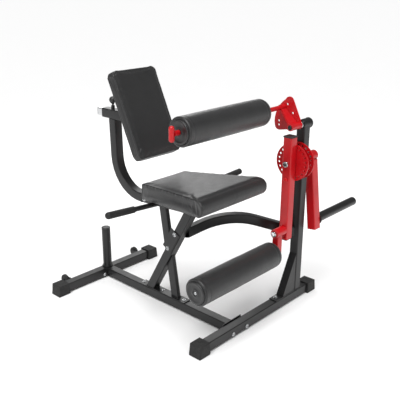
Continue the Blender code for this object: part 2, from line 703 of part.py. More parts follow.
def lever(group):
    """Discs, shaft, weight arm and peg turn together in the post's bearing."""
    centre = (0, POST_Y, PIVOT_Z)
    shaft_end = WEIGHT_ARM_X[1] + 0.008
    head = ARM_X[0] - GAP
    shaft = [(head - 0.011, 0), (head - 0.011, 0.012), (head - 0.009, 0.0145), (head, 0.0145),
             (head, SHAFT_RADIUS), (shaft_end, SHAFT_RADIUS), (shaft_end, 0)]
    add_piece("main_shaft", turned(shaft, centre), "chrome", group)

    x_low = ARM_X[1] + GAP
    x_high = x_low + DISC_THICKNESS
    inner = turned(ring_profile(x_low, x_high, BORE_RADIUS, DISC_RADIUS), centre, segments=48,
                   hollow=True)
    disc = add_piece("selector_disc_inner", inner, "red_paint", group)
    combine(disc, disc_holes(x_low - 0.002, x_high + 0.002), "DIFFERENCE", group)
    outer_end = OUTER_DISC_X + DISC_THICKNESS
    profile = [(x_high + GAP, BORE_RADIUS), (x_high + GAP, 0.022), (OUTER_DISC_X, 0.022),
               (OUTER_DISC_X, DISC_RADIUS), (outer_end, DISC_RADIUS), (outer_end, BORE_RADIUS)]
    outer = turned(profile, centre, segments=48, hollow=True)
    disc = add_piece("selector_disc_outer", outer, "red_paint", group)
    combine(disc, disc_holes(OUTER_DISC_X - 0.002, outer_end + 0.002), "DIFFERENCE", group)

    down = Vector((0, -math.sin(WEIGHT_ARM_LEAN), -math.cos(WEIGHT_ARM_LEAN)))
    middle = Vector((sum(WEIGHT_ARM_X) / 2, POST_Y, PIVOT_Z))
    path = [middle + down * 0.020, middle + down * WEIGHT_ARM_LENGTH]
    arm = square_tube(path, (1, 0, 0), width=WEIGHT_ARM_X[1] - WEIGHT_ARM_X[0])
    weight_arm = add_piece("weight_arm", arm, "red_paint", group)
    ends = (WEIGHT_ARM_X[0] - 0.0005, WEIGHT_ARM_X[1] + 0.003)
    combine(weight_arm, rod(*ends, WEIGHT_HUB_RADIUS, POST_Y, PIVOT_Z, 32), "UNION", group)
    bore = rod(ends[0] - 0.01, ends[1] + 0.01, BORE_RADIUS, POST_Y, PIVOT_Z, 24)
    combine(weight_arm, bore, "DIFFERENCE", group)

    peg_at = middle + down * PEG_ALONG_ARM
    root = WEIGHT_ARM_X[1] + GAP
    bore = PEG_RADIUS - 0.003
    end = PEG_END_X
    peg = [(end - 0.006, 0), (end - 0.006, bore), (root, bore), (root, 0.033), (root + 0.006, 0.033),
           (root + 0.006, PEG_RADIUS), (end - 0.006, PEG_RADIUS), (end - 0.002, PEG_RADIUS - 0.002),
           (end, PEG_RADIUS - 0.007), (end, 0)]
    add_piece("weight_peg", turned(peg, (0, peg_at.y, peg_at.z)), "black_paint", group)


def roller_arm(group):
    """The arm that carries the ankle roller; a selector pin locks it to the discs."""
    x = sum(ARM_X) / 2
    path = [(x, POST_Y, z) for z in ARM_Z]
    arm = add_piece("roller_arm", square_tube(path, (1, 0, 0)), "red_paint", group)
    pin_z = PIVOT_Z - DISC_HOLE_CIRCLE
    low, high = ARM_X[0] - 0.01, ARM_X[1] + 0.01
    combine(arm, rod(low, high, BORE_RADIUS, POST_Y, PIVOT_Z), "DIFFERENCE", group)
    combine(arm, rod(low, high, 0.0056, POST_Y, pin_z, 16), "DIFFERENCE", group)

    top = ARM_Z[1] + GAP
    reach = HALF + 0.0025
    plug = box((x - reach, POST_Y - reach, top), (x + reach, POST_Y + reach, top + 0.008))
    soften(add_piece("arm_top_plug", plug, "black_plastic", group), 0.003)

    head = ARM_X[0] - GAP
    tip = ARM_X[1] - 0.0005
    pin_group = Group("selector_pin_line", (head, POST_Y, pin_z), group)
    pin = [(head - 0.007, 0), (head - 0.007, 0.008), (head - 0.004, 0.011), (head, 0.011),
           (head, 0.0048), (tip, 0.0048), (tip, 0)]
    add_piece("selector_pin", turned(pin, (0, POST_Y, pin_z), segments=20), "red_paint", pin_group)

    bolt_x = ANKLE_BARREL_X[0] - GAP
    stub = [(bolt_x - 0.009, 0), (bolt_x - 0.009, 0.010), (bolt_x - 0.006, 0.0150),
            (bolt_x, 0.0150), (bolt_x, SHAFT_RADIUS), (head, SHAFT_RADIUS), (head, 0)]
    add_piece("ankle_pivot_bolt", turned(stub, (0, ANKLE_PIVOT.y, ANKLE_PIVOT.z)), "chrome", group)


def ankle_bracket(group):
    y, z = ANKLE_PIVOT.y, ANKLE_PIVOT.z
    neck_x = (0.312, 0.352)
    levels = (z - 0.016, ANKLE_ROLLER.z - 0.020)
    path = [((neck_x[0] + neck_x[1]) / 2, y, level) for level in levels]
    neck = square_tube(path, (1, 0, 0), width=0.040, depth=0.036)
    piece = add_piece("ankle_bracket", neck, "red_paint", group)
    barrel = rod(*ANKLE_BARREL_X, ANKLE_BARREL_RADIUS, y, z, 28)
    combine(piece, barrel, "UNION", group)
    low, high = ANKLE_BARREL_X[0] - 0.01, ANKLE_BARREL_X[1] + 0.01
    combine(piece, rod(low, high, BORE_RADIUS, y, z), "DIFFERENCE", group)
    rod_start = ANKLE_ROLLER_X[0] + 0.002
    axle = rod(rod_start, neck_x[0] - GAP, ROD_RADIUS, ANKLE_ROLLER.y, ANKLE_ROLLER.z)
    add_piece("ankle_roller_rod", axle, "red_paint", group)


def foam_roller(name, centre, x_range, cap_bore, group):
    """A foam sleeve with a plastic cap on its outer end."""
    at = (0, centre.y, centre.z)
    low, high = x_range
    profile = [(low, ROLLER_BORE), (low, ROLLER_RADIUS - 0.006)]
    profile += [(low + 0.006, ROLLER_RADIUS), (high - 0.016, ROLLER_RADIUS)]
    profile += [(high - 0.005, ROLLER_RADIUS - 0.006), (high, ROLLER_RADIUS - 0.017)]
    profile.append((high, ROLLER_BORE))
    add_piece(name + "_foam", turned(profile, at, segments=32, hollow=True), "vinyl", group)
    outer = low - GAP - ROLLER_CAP
    if cap_bore:
        cap = ring_profile(outer, low - GAP, cap_bore, ROLLER_CAP_RADIUS)
        bm = turned(cap, at, segments=32, hollow=True)
    else:
        bm = rod(outer, low - GAP, ROLLER_CAP_RADIUS, centre.y, centre.z, 32)
    add_piece(name + "_cap", bm, "black_plastic", group)


# ---------------------------------------------------------------- thigh roller bracket
def thigh_arm(pivot, roller, group):
    """A plate from the pivot pin up to the roller's rod, with a boss round each."""
    low, high = THIGH_ARM_X
    reach = Vector((0, roller[0] - pivot[0], roller[1] - pivot[1]))
    along = reach.normalized()
    normal = Vector((1, 0, 0)).cross(along)
    outline = [(low, 0), (high, 0), (high, reach.length), (THIGH_ARM_TOP_X, reach.length)]
    half = THIGH_ARM_THICKNESS / 2
    bm = extruded(outline, -half, half, "Z")
    place = Matrix((Vector((1, 0, 0)), along, normal)).transposed().to_4x4()
    place.translation = Vector((0, *pivot))
    bmesh.ops.transform(bm, matrix=place, verts=bm.verts)
    arm = add_piece("thigh_arm", bm, "red_paint", group)
    combine(arm, rod(low, high, 0.0175, *pivot, 24), "UNION", group)
    combine(arm, rod(THIGH_ARM_TOP_X, high, 0.0150, *roller, 24), "UNION", group)
    combine(arm, rod(low - 0.01, high + 0.01, BORE_RADIUS, *pivot), "DIFFERENCE", group)
    seat_for_rod = rod(low - 0.01, THIGH_ARM_TOP_X, ROD_RADIUS + GAP, *roller)
    combine(arm, seat_for_rod, "DIFFERENCE", group)


def thigh_bracket(group):
    pivot = (POST_Y, BARREL_Z)
    roller = (THIGH_ROLLER.y, THIGH_ROLLER.z)
    arm_low, arm_high = THIGH_ARM_X
    thigh_arm(pivot, roller, group)

    sector_low = arm_high + GAP
    sector_high = sector_low + THIGH_SECTOR
    hub = arc(pivot, 0.0185, 160, 256, 5)
    lower_corner = arc((pivot[0] + 0.118, pivot[1] - 0.015), 0.026, 257, 350, 4)
    rim = arc(pivot, SECTOR_RADIUS, 1, 54, 7)
    upper_corner = arc((pivot[0] + 0.062, pivot[1] + 0.111), 0.025, 60, 158, 4)
    sector = extruded(hub + lower_corner + rim + upper_corner, sector_low, sector_high, "X")
    plate = add_piece("thigh_sector_plate", sector, "red_paint", group)
    holes = [(math.radians(a), r) for a, r in ((53, 0.121), (55.5, 0.0685), (3, 0.121), (-7, 0.121))]
    places = [(pivot[0] + r * math.cos(a), pivot[1] + r * math.sin(a)) for a, r in holes]
    bm = rod_holes(places, sector_low - 0.002, sector_high + 0.002, 0.0062, 12)
    combine(plate, bm, "DIFFERENCE", group)
    bore = rod(sector_low - 0.002, sector_high + 0.002, BORE_RADIUS, *pivot)
    combine(plate, bore, "DIFFERENCE", group)

    barrel_end = 0.561 + GAP
    pin = [(arm_low - 0.004, 0), (arm_low - 0.004, 0.009), (arm_low - 0.001, SHAFT_RADIUS),
           (barrel_end, SHAFT_RADIUS), (barrel_end, 0.022), (barrel_end + 0.004, 0.020),
           (barrel_end + 0.004, 0)]
    add_piece("thigh_pivot_pin", turned(pin, (0, *pivot)), "black_paint", group)
    spacer = ring_profile(sector_high + GAP, POST_X - HALF - GAP, BORE_RADIUS, 0.020)
    add_piece("thigh_spacer", turned(spacer, (0, *pivot), hollow=True), "chrome", group)

    handle_x = -0.327
    axle = rod(handle_x + 0.013 + GAP, THIGH_ARM_TOP_X - GAP, ROD_RADIUS, *roller)
    add_piece("thigh_roller_rod", axle, "red_paint", group)
    radius, half_length = 0.0125, 0.036
    profile = [(-half_length, 0)]
    straight = half_length - radius
    for a in range(-75, 1, 15):
        angle = math.radians(a)
        profile.append((-straight + radius * math.sin(angle), radius * math.cos(angle)))
    for a in range(0, 76, 15):
        angle = math.radians(a)
        profile.append((straight + radius * math.sin(angle), radius * math.cos(angle)))
    profile.append((half_length, 0))
    grip = turned(profile, (handle_x, *roller), (0, 0, 1), 20)
    add_piece("thigh_handle", grip, "red_paint", group)


# ---------------------------------------------------------------- assembly
def build():
    machine = Group("machine", (0, 0, 0))
    floor_frame(machine)
    storage_post(machine)
    for side, sign in (("right", -1), ("left", 1)):
        transport_wheel(side, sign, machine)
        handle(side, sign, machine)
    post(machine)
    seat_frame(machine)
    arch_brace(machine)
    seat(machine)
    backrest(machine)

    pivot = (POST_X, POST_Y, PIVOT_Z)
    lever_group = Group("lever_axis", pivot, machine)
    lever(lever_group)
    arm_group = Group("start_angle_axis", pivot, lever_group)
    roller_arm(arm_group)
    ankle_group = Group("ankle_bracket_axis", ANKLE_PIVOT, arm_group)
    ankle_bracket(ankle_group)
    ankle_roller = Group("ankle_roller_axis", ANKLE_ROLLER, ankle_group)
    foam_roller("ankle_roller", ANKLE_ROLLER, ANKLE_ROLLER_X, None, ankle_roller)

    thigh_group = Group("thigh_bracket_axis", (POST_X, POST_Y, BARREL_Z), machine)
    thigh_bracket(thigh_group)
    thigh_roller = Group("thigh_roller_axis", THIGH_ROLLER, thigh_group)
    foam_roller("thigh_roller", THIGH_ROLLER, THIGH_ROLLER_X, ROLLER_BORE, thigh_roller)


clear_scene()
PAINT = {name: make_material(name) for name in MATERIALS}
build()
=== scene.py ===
"""The look of a plate-loaded seated leg extension and leg curl machine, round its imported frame.

Metres, +Z up, in the row frame: the lever is on the +X side and the user faces -Y. Every place
below is read from the CAD nodes, so each piece sits where the model says.
"""
import math

import bmesh
import bpy
import numpy as np
from mathutils import Matrix, Vector, noise
from mathutils.bvhtree import BVHTree
from mathutils.kdtree import KDTree


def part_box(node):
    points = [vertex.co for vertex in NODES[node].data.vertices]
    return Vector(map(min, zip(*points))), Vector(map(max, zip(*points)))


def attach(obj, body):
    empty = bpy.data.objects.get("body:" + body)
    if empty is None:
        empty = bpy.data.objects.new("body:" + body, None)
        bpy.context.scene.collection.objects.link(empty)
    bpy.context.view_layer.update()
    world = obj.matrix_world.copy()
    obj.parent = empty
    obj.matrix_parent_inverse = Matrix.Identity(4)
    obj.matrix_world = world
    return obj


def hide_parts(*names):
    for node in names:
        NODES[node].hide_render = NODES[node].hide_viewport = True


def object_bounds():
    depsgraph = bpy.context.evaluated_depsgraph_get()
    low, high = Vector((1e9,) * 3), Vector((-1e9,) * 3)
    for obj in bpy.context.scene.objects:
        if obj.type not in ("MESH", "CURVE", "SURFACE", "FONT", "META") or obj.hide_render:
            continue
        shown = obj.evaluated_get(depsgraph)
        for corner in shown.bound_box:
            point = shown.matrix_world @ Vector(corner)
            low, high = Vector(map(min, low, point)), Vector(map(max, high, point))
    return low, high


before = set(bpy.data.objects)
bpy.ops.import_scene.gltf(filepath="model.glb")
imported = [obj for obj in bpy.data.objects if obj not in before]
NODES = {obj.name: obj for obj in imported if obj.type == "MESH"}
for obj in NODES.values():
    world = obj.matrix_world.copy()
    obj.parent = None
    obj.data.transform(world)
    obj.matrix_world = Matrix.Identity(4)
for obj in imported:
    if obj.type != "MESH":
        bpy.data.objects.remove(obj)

CAD_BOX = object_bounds()

# ---------------------------------------------------------------- driving values
CAMERA_PLACE = Vector((-2.38398, -2.18694, 1.68351))
CAMERA_AZIMUTH = math.radians(-47.5)
CAMERA_ELEVATION = math.radians(19.82)
CAMERA_ROLL = math.radians(0.268)
CAMERA_LENS = 56.3535
CAMERA_SENSOR = 36.0

EDGE = 0.0009                     # rounding of the metal edges
THIN_EDGE = 0.12                  # and at most this share of a node's thinnest side
JOIN = 1e-5                       # split vertices closer than this are one
SHARP = math.radians(50)
VOXEL = 0.0055                    # cushions are remeshed at this size before they swell
CLOTH_PRESSURE = 4.0
CLOTH_STEPS = 20
CLOTH_CAP = 0.0055                # farthest a point of a cushion may move
PULL_IN = 0.35                    # share of the cloth's inward move that is kept
CUSHION_INSET = 0.0008
SEAM_WIDTH = 0.0042
SEAM_DEPTH = 0.0012
STITCH_STEP = 0.0062
STITCH_LENGTH = 0.0040
STITCH_RADIUS = 0.00055
WELD_RADIUS = 0.0026
THIN_WELD = 0.0018
TUBE_CORNER = 0.004               # outer corner radius of the square tubes

FLOOR_BOLT_RISE = 0.016           # bolt centres above the underside of a floor bar
FLOOR_BOLT_INSET = 0.018
BASE_BOLT = 0.0078                # bolt sizes are the head's reach from its centre
CROSS_BOLT = 0.0090
RAIL_BOLT = 0.0070
RAIL_REAR_BOLT = 0.0100
RAIL_NUT = 0.0080
RAIL_REAR_BOLT_Z = 0.570
RAIL_BOLT_Z = 0.574
RAIL_NUT_Z = 0.572
RAIL_REAR_BACK = 0.022            # distances forward of the rail's rear end
RAIL_PAIR_BACK = (0.098, 0.128)
ROLLER_SEGMENTS = 96

FLOOR_HALF = 60.0
ROOM_LIGHT = 0.22                 # world strength as the object sees it
BACKDROP_LIGHT = 1.0              # and as the camera sees it behind the floor
OVERHEAD_LIGHT = 2.9

BLACK = (0.0080, 0.0080, 0.0084)
RED = (0.430, 0.0025, 0.0060)


# ---------------------------------------------------------------- materials
class Paint:
    """A Principled material whose colour, roughness and bump vary over the surface."""

    def __init__(self, name, colour, roughness, metallic=0.0, specular=0.5):
        self.material = bpy.data.materials.new(name)
        self.material.use_nodes = True
        self.tree = self.material.node_tree
        self.shader = self.tree.nodes["Principled BSDF"]
        self.colour = colour
        self.shader.inputs["Base Color"].default_value = (*colour, 1)
        self.shader.inputs["Roughness"].default_value = roughness
        self.shader.inputs["Metallic"].default_value = metallic
        self.shader.inputs["Specular IOR Level"].default_value = specular
        self.roughness = roughness
        self.height = None
        self.place = self.tree.nodes.new("ShaderNodeTexCoord").outputs["Object"]

    def stretch(self, scale):
        """Object coordinates scaled along each axis, for brushed or layered surfaces."""
        node = self.tree.nodes.new("ShaderNodeMapping")
        node.inputs["Scale"].default_value = scale
        self.tree.links.new(self.place, node.inputs["Vector"])
        return node.outputs["Vector"]

    def cloud(self, scale, detail=3.0, place=None):
        node = self.tree.nodes.new("ShaderNodeTexNoise")
        node.inputs["Scale"].default_value = scale
        node.inputs["Detail"].default_value = detail
        self.tree.links.new(place or self.place, node.inputs["Vector"])
        return node.outputs["Fac"]

    def cells(self, scale):
        node = self.tree.nodes.new("ShaderNodeTexVoronoi")
        node.feature = "DISTANCE_TO_EDGE"
        node.inputs["Scale"].default_value = scale
        self.tree.links.new(self.place, node.inputs["Vector"])
        return node.outputs["Distance"]

    def remap(self, source, low, high, from_low=0.3, from_high=0.7):
        node = self.tree.nodes.new("ShaderNodeMapRange")
        node.inputs["From Min"].default_value = from_low
        node.inputs["From Max"].default_value = from_high
        node.inputs["To Min"].default_value = low
        node.inputs["To Max"].default_value = high
        self.tree.links.new(source, node.inputs["Value"])
        return node.outputs["Result"]

    def shade(self, source, other):
        """Blend the colour towards another one by a 0 to 1 value."""
        node = self.tree.nodes.new("ShaderNodeMix")
        node.data_type = "RGBA"
        socket = self.shader.inputs["Base Color"]
        if socket.is_linked:
            self.tree.links.new(socket.links[0].from_socket, node.inputs["A"])
        else:
            node.inputs["A"].default_value = (*self.colour, 1)
        node.inputs["B"].default_value = (*other, 1)
        self.tree.links.new(source, node.inputs["Factor"])
        self.tree.links.new(node.outputs["Result"], socket)
        return self

    def gloss(self, source, spread):
        """Roughness goes up and down round its own value."""
        value = self.remap(source, self.roughness - spread, self.roughness + spread)
        self.tree.links.new(value, self.shader.inputs["Roughness"])
        return self

    def bump(self, source, depth, strength=1.0):
        node = self.tree.nodes.new("ShaderNodeBump")
        node.inputs["Strength"].default_value = strength
        node.inputs["Distance"].default_value = depth
        self.tree.links.new(source, node.inputs["Height"])
        if self.height is not None:
            self.tree.links.new(self.height, node.inputs["Normal"])
        self.height = node.outputs["Normal"]
        self.tree.links.new(self.height, self.shader.inputs["Normal"])
        return self

    def worn_edges(self, other, amount):
        """Outer corners are a little lighter, as rubbed paint is."""
        node = self.tree.nodes.new("ShaderNodeNewGeometry")
        edge = self.remap(node.outputs["Pointiness"], 0.0, amount, 0.52, 0.60)
        return self.shade(edge, other)


def lighter(colour, factor):
    return tuple(min(1.0, c * factor) for c in colour)


def powder_coat(name, colour, roughness, coat):
    """Baked powder paint: fine orange peel, faint mottling, rubbed corners."""
    paint = Paint(name, colour, roughness, specular=0.40)
    paint.shader.inputs["Coat Weight"].default_value = coat
    paint.shader.inputs["Coat Roughness"].default_value = 0.22
    paint.shade(paint.remap(paint.cloud(9.0), 0.0, 0.5), lighter(colour, 1.45))
    paint.gloss(paint.cloud(16.0, 2.0), 0.04)
    paint.bump(paint.cloud(240.0, 1.0), 0.00010, 0.05)
    return paint.worn_edges(lighter(colour, 2.0), 0.20).material


def grained_vinyl():
    """Embossed upholstery vinyl: pebble grain, soft creases, hand-rubbed sheen."""
    paint = Paint("vinyl", (0.0150, 0.0150, 0.0155), 0.40, specular=0.50)
    paint.shader.inputs["Sheen Weight"].default_value = 0.10
    paint.shader.inputs["Sheen Roughness"].default_value = 0.45
    paint.shade(paint.remap(paint.cloud(14.0), 0.0, 0.4), (0.0210, 0.0210, 0.0215))
    paint.gloss(paint.cloud(24.0, 4.0), 0.04)
    paint.bump(paint.remap(paint.cells(640.0), 0.0, 1.0, 0.0, 0.25), 0.00025, 0.35)
    paint.bump(paint.cloud(30.0, 2.0), 0.0008, 0.06)
    return paint.material


def stitching_thread():
    paint = Paint("thread", (0.030, 0.030, 0.032), 0.62)
    paint.shade(paint.remap(paint.cloud(500.0), 0.0, 1.0), (0.060, 0.060, 0.062))
    paint.gloss(paint.cloud(300.0), 0.08)
    return paint.bump(paint.cloud(2600.0, 2.0), 0.0002, 0.5).material


def moulded_plastic():
    paint = Paint("black_plastic", (0.0160, 0.0160, 0.0165), 0.40)
    paint.shade(paint.remap(paint.cloud(30.0), 0.0, 0.5), (0.0240, 0.0240, 0.0245))
    paint.gloss(paint.cloud(60.0, 4.0), 0.08)
    paint.bump(paint.cloud(1100.0, 3.0), 0.00012, 0.40)
    return paint.worn_edges((0.055, 0.055, 0.056), 0.3).material


def rubber():
    paint = Paint("rubber", (0.0140, 0.0140, 0.0142), 0.66, specular=0.35)
    paint.shade(paint.remap(paint.cloud(22.0, 5.0), 0.0, 0.7), (0.0240, 0.0235, 0.0230))
    paint.gloss(paint.cloud(90.0, 4.0), 0.10)
    paint.bump(paint.cloud(850.0, 4.0), 0.0003, 0.45)
    return paint.material


def plated_metal(name, colour, roughness):
    """Bright plated steel: faint draw lines, cloudy spots."""
    paint = Paint(name, colour, roughness, metallic=1.0)
    paint.shade(paint.remap(paint.cloud(35.0), 0.0, 0.6), lighter(colour, 0.82))
    paint.gloss(paint.cloud(120.0, 5.0), 0.05)
    paint.bump(paint.cloud(260.0, 3.0, paint.stretch((0.3, 0.3, 6.0))), 0.00006, 0.25)
    return paint.material


def plywood():
    paint = Paint("board", (0.055, 0.046, 0.036), 0.72)
    layers = paint.stretch((2.0, 9.0, 160.0))
    paint.shade(paint.remap(paint.cloud(3.0, 4.0, layers), 0.0, 1.0), (0.150, 0.110, 0.070))
    paint.gloss(paint.cloud(60.0), 0.08)
    return paint.bump(paint.cloud(8.0, 5.0, layers), 0.0006, 0.4).material


def make_paints():
    return {
        "black_paint": powder_coat("black_paint", BLACK, 0.38, 0.10),
        "red_paint": powder_coat("red_paint", RED, 0.33, 0.15),
        "vinyl": grained_vinyl(),
        "black_plastic": moulded_plastic(),
        "rubber": rubber(),
        "chrome": plated_metal("chrome", (0.72, 0.73, 0.74), 0.16),
        "zinc": plated_metal("zinc", (0.56, 0.57, 0.58), 0.28),
        "board": plywood(),
        "thread": stitching_thread(),
    }


PAINTS = make_paints()


# ---------------------------------------------------------------- carried-over CAD nodes
def tidy_group():
    """Geometry nodes that join the split vertices and shade every face smooth."""
    group = bpy.data.node_groups.new("join_and_smooth", "GeometryNodeTree")
    group.interface.new_socket("Geometry", in_out="INPUT", socket_type="NodeSocketGeometry")
    group.interface.new_socket("Geometry", in_out="OUTPUT", socket_type="NodeSocketGeometry")
    start = group.nodes.new("NodeGroupInput")
    merge = group.nodes.new("GeometryNodeMergeByDistance")
    merge.inputs["Distance"].default_value = JOIN
    smooth = group.nodes.new("GeometryNodeSetShadeSmooth")
    end = group.nodes.new("NodeGroupOutput")
    group.links.new(start.outputs["Geometry"], merge.inputs["Geometry"])
    group.links.new(merge.outputs["Geometry"], smooth.inputs["Geometry"])
    group.links.new(smooth.outputs["Geometry"], end.inputs["Geometry"])
    return group


def round_edges(piece, width):
    bevel = piece.modifiers.new("edges", "BEVEL")
    bevel.width = width
    bevel.segments = 2
    bevel.limit_method = "ANGLE"
    bevel.angle_limit = SHARP
    bevel.use_clamp_overlap = True
    normals = piece.modifiers.new("normals", "WEIGHTED_NORMAL")
    normals.weight = 80


def finish_nodes():
    group = tidy_group()
    for node in NODES.values():
        for entry in node.material_slots:
            entry.material = PAINTS[entry.material.name.split(".")[0]]
        node.modifiers.new("join", "NODES").node_group = group
        low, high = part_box(node.name)
        round_edges(node, min(EDGE, min(high - low) * THIN_EDGE))


# ---------------------------------------------------------------- mesh helpers
def add_piece(name, bm, paint, body, smooth_angle=40):
    """A bmesh in the row frame becomes a piece that rides on a CAD body."""
    bmesh.ops.recalc_face_normals(bm, faces=bm.faces)
    mesh = bpy.data.meshes.new(name)
    bm.to_mesh(mesh)
    bm.free()
    mesh.shade_smooth()
    mesh.set_sharp_from_angle(angle=math.radians(smooth_angle))
    mesh.materials.append(PAINTS[paint])
    piece = bpy.data.objects.new(name, mesh)
    bpy.context.collection.objects.link(piece)
    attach(piece, body)
    return piece


def axes_for(direction):
    """A matrix whose X is the direction."""
    return Vector(direction).normalized().to_track_quat("X", "Z").to_matrix().to_4x4()


def skin(bm, rings):
    """Faces between rings of the same count; a ring of one vertex closes an end."""
    for first, second in zip(rings, rings[1:]):
        count = max(len(first), len(second))
        for i in range(count):
            j = (i + 1) % count
            if len(first) == 1:
                bm.faces.new((first[0], second[j], second[i]))
            elif len(second) == 1:
                bm.faces.new((first[i], first[j], second[0]))
            else:
                bm.faces.new((first[i], first[j], second[j], second[i]))


def lathe(bm, profile, place, segments=32, sides=None):
    """Turn (distance, radius) points about the X axis of a matrix. sides gives a polygon."""
    rings = []
    for distance, radius in profile:
        if radius == 0:
            rings.append([bm.verts.new(place @ Vector((distance, 0, 0)))])
            continue
        ring = []
        for i in range(segments):
            angle = 2 * math.pi * i / segments
            reach = radius
            if sides and radius in sides:
                share = angle % (2 * math.pi / 6) - math.pi / 6
                reach = radius * math.cos(math.pi / 6) / math.cos(share)
            offset = Vector((distance, reach * math.cos(angle), reach * math.sin(angle)))
            ring.append(bm.verts.new(place @ offset))
        rings.append(ring)
    skin(bm, rings)


def button_bolt(name, centre, direction, body, size=0.0085):
    """A domed socket-head bolt with its washer, seated on a face."""
    washer, head = size * 1.28, size * 0.92
    tall = size * 0.72
    socket = size * 0.44
    profile = [(-0.0002, 0), (-0.0002, washer), (0.0011, washer), (0.0015, washer * 0.96),
               (0.0015, head), (0.0026, head * 1.01)]
    for step in range(1, 6):
        angle = math.radians(step * 13)
        profile.append((0.0026 + (tall - 0.0026) * math.sin(angle) / math.sin(math.radians(65)),
                        socket + (head - socket) * math.cos(angle)))
    profile += [(tall + 0.0001, socket * 1.06), (tall - 0.0004, socket), (0.0022, socket * 0.98),
                (0.0022, 0)]
    bm = bmesh.new()
    lathe(bm, profile, Matrix.Translation(centre) @ axes_for(direction), 36,
          {socket, socket * 1.06, socket * 0.98})
    return add_piece(name, bm, "zinc", body, 30)


def hex_nut(name, centre, direction, body, across=0.0095):
    """A hex nut on its washer, with the bolt's end standing out of it."""
    bm = bmesh.new()
    place = Matrix.Translation(centre) @ axes_for(direction)
    washer = across * 1.22
    lathe(bm, [(-0.0002, 0), (-0.0002, washer), (0.0013, washer), (0.0015, washer * 0.95),
               (0.0015, 0)], place, 36)
    top = 0.0015 + across * 0.85
    lathe(bm, [(0.0016, 0), (0.0016, across * 0.97), (0.0022, across), (top - 0.0008, across),
               (top, across * 0.86), (top, across * 0.56), (top - 0.0004, across * 0.52),
               (top - 0.0004, 0)], place, 36, {across, across * 0.97})
    lathe(bm, [(top - 0.0003, 0), (top - 0.0003, across * 0.45), (top + 0.0022, across * 0.45),
               (top + 0.0030, across * 0.36), (top + 0.0030, 0)], place, 24)
    return add_piece(name, bm, "zinc", body, 30)


def weld_bead(name, points, body, closed=True, radius=WELD_RADIUS):
    """A rippled fillet along a line of points, painted with the frame."""
    points = [Vector(p) for p in points]
    if closed:
        points.append(points[0])
    path = []
    for a, b in zip(points, points[1:]):
        count = max(2, int((b - a).length / 0.0011))
        path += [a.lerp(b, i / count) for i in range(count)]
    if not closed:
        path.append(points[-1])
    bm = bmesh.new()
    rings = []
    total = len(path)
    for i, point in enumerate(path):
        before = path[i - 1] if closed or i else point
        after = path[(i + 1) % total] if closed or i < total - 1 else point
        tangent = (after - before).normalized()
        side = tangent.orthogonal().normalized()
        if abs(tangent.z) < 0.9:
            side = tangent.cross((0, 0, 1)).normalized()
        up = tangent.cross(side)
        ripple = 1.0 + 0.13 * math.sin(i * 1.45) + 0.10 * noise.noise(point * 90)
        ring = []
        for k in range(8):
            angle = 2 * math.pi * k / 8
            reach = radius * ripple
            ring.append(bm.verts.new(point + side * reach * math.cos(angle)
                                     + up * reach * math.sin(angle)))
        rings.append(ring)
    if closed:
        rings.append(rings[0])
    skin(bm, rings)
    if not closed:
        bm.faces.new(rings[0])
        bm.faces.new(rings[-1])
    return add_piece(name, bm, "black_paint", body, 70)


def end_loop(node, axis, side, grow=0.0004):
    """The outline where a tube ends: corners of its lowest or highest slice along an axis."""
    points = [v.co.copy() for v in NODES[node].data.vertices]
    values = [p[axis] for p in points]
    edge = min(values) if side < 0 else max(values)
    slab = [p for p in points if abs(p[axis] - edge) < 0.0045]
    a, b = [i for i in range(3) if i != axis]
    low = [min(p[i] for p in slab) for i in (a, b)]
    high = [max(p[i] for p in slab) for i in (a, b)]
    corner = TUBE_CORNER
    loop = []
    centre = ((low[0] + high[0]) / 2, (low[1] + high[1]) / 2)
    half = ((high[0] - low[0]) / 2 + grow, (high[1] - low[1]) / 2 + grow)
    for sx, sy, start in ((1, 1, 0), (-1, 1, 90), (-1, -1, 180), (1, -1, 270)):
        for step in range(4):
            angle = math.radians(start + 30 * step)
            spot = [0.0, 0.0, 0.0]
            spot[axis] = edge
            spot[a] = centre[0] + sx * (half[0] - corner) + corner * math.cos(angle)
            spot[b] = centre[1] + sy * (half[1] - corner) + corner * math.sin(angle)
            loop.append(Vector(spot))
    return loop


# ---------------------------------------------------------------- padded pieces
def welded_copy(node):
    bm = bmesh.new()
    bm.from_mesh(NODES[node].data)
    bmesh.ops.remove_doubles(bm, verts=bm.verts, dist=JOIN)
    bmesh.ops.recalc_face_normals(bm, faces=bm.faces)
    return bm


def evaluated_mesh(piece):
    graph = bpy.context.evaluated_depsgraph_get()
    return bpy.data.meshes.new_from_object(piece.evaluated_get(graph))


def bake_modifiers(piece):
    mesh = evaluated_mesh(piece)
    piece.modifiers.clear()
    piece.data = mesh


def coordinates(mesh):
    values = np.zeros(len(mesh.vertices) * 3)
    mesh.vertices.foreach_get("co", values)
    return values.reshape(-1, 3)


def set_coordinates(mesh, values):
    mesh.vertices.foreach_set("co", values.astype(np.float32).ravel())
    mesh.update()


def vertex_normals(mesh):
    values = np.zeros(len(mesh.vertices) * 3)
    mesh.vertex_normals.foreach_get("vector", values)
    return values.reshape(-1, 3)


